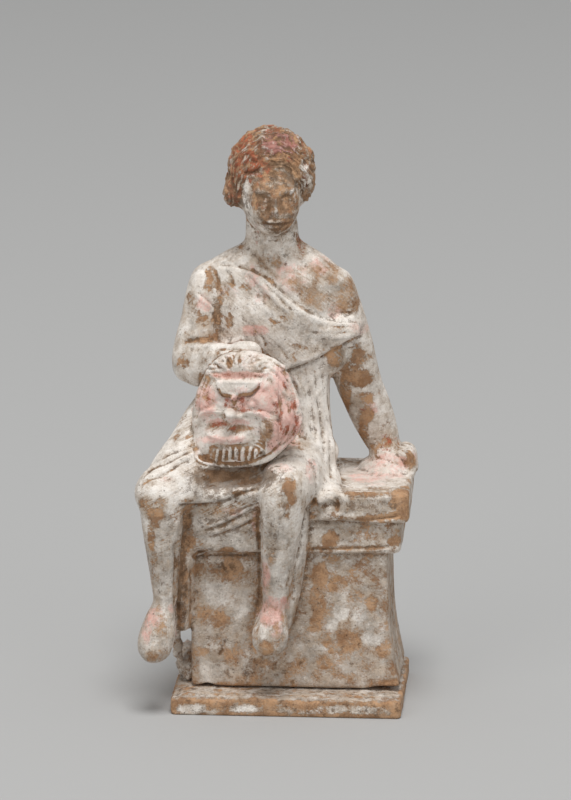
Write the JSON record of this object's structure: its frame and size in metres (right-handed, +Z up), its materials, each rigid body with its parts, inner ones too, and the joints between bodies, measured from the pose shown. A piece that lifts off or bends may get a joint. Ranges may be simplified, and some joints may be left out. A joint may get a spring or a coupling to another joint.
{
  "type": "terracotta figurine",
  "caption": "Ancient-style terracotta figurine of a youth in a draped tunic, seated on an altar-like block on a thin plate and holding a comic mask, with worn white slip and paint.",
  "frame": {"origin": "centre of the base plate's flat underside", "axes": "+Z up, the figure faces -Y, +X is on the viewer's right"},
  "size_m": [0.0849, 0.0612, 0.1797],
  "materials": {
    "slipped_terracotta": "dry matt white slip, worn and flaked down to orange-brown clay, with traces of pink and red paint and grey dirt",
    "bare_terracotta": "dry matt orange-brown clay with remains of white slip"
  },
  "bodies": {
    "root": {"seated_youth_with_mask": "slipped_terracotta", "base_plate": "bare_terracotta"}
  },
  "joints": []
}
